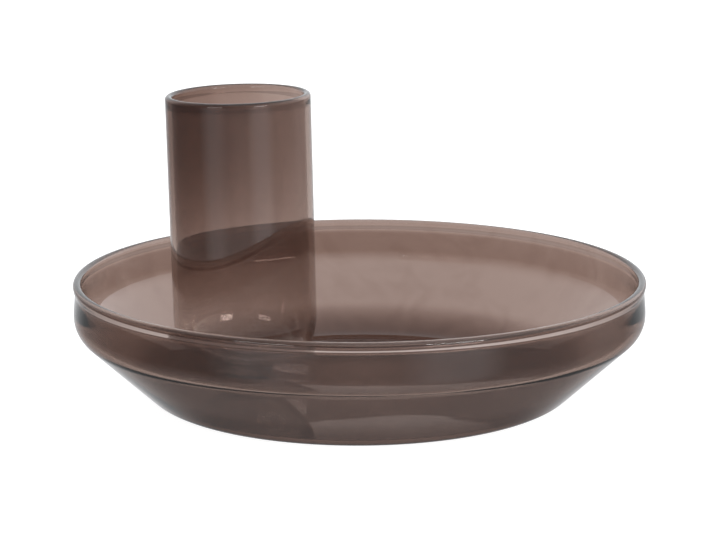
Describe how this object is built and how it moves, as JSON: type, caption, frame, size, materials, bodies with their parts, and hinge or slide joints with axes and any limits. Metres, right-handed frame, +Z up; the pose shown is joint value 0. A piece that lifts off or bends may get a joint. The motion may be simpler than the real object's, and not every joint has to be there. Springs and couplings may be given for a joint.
{
  "type": "glass candlestick",
  "caption": "Shallow smoked-glass dish with a rolled rim and an off-centre round-bottomed glass tube that holds a dinner candle.",
  "frame": {"origin": "middle of the dish's base, on the surface that the candlestick stands on", "axes": "+Z up; the candle tube stands towards -X, so X and Z span the plane of symmetry"},
  "size_m": [0.1, 0.1, 0.0534],
  "materials": {
    "dish_glass": "smoked, hand-blown, glossy",
    "tube_glass": "smoked, drawn tube, glossy",
    "clear_adhesive": "clear cured adhesive"
  },
  "bodies": {
    "root": {"dish": "dish_glass", "candle_tube": "tube_glass", "glue_bond": "clear_adhesive"}
  },
  "joints": []
}
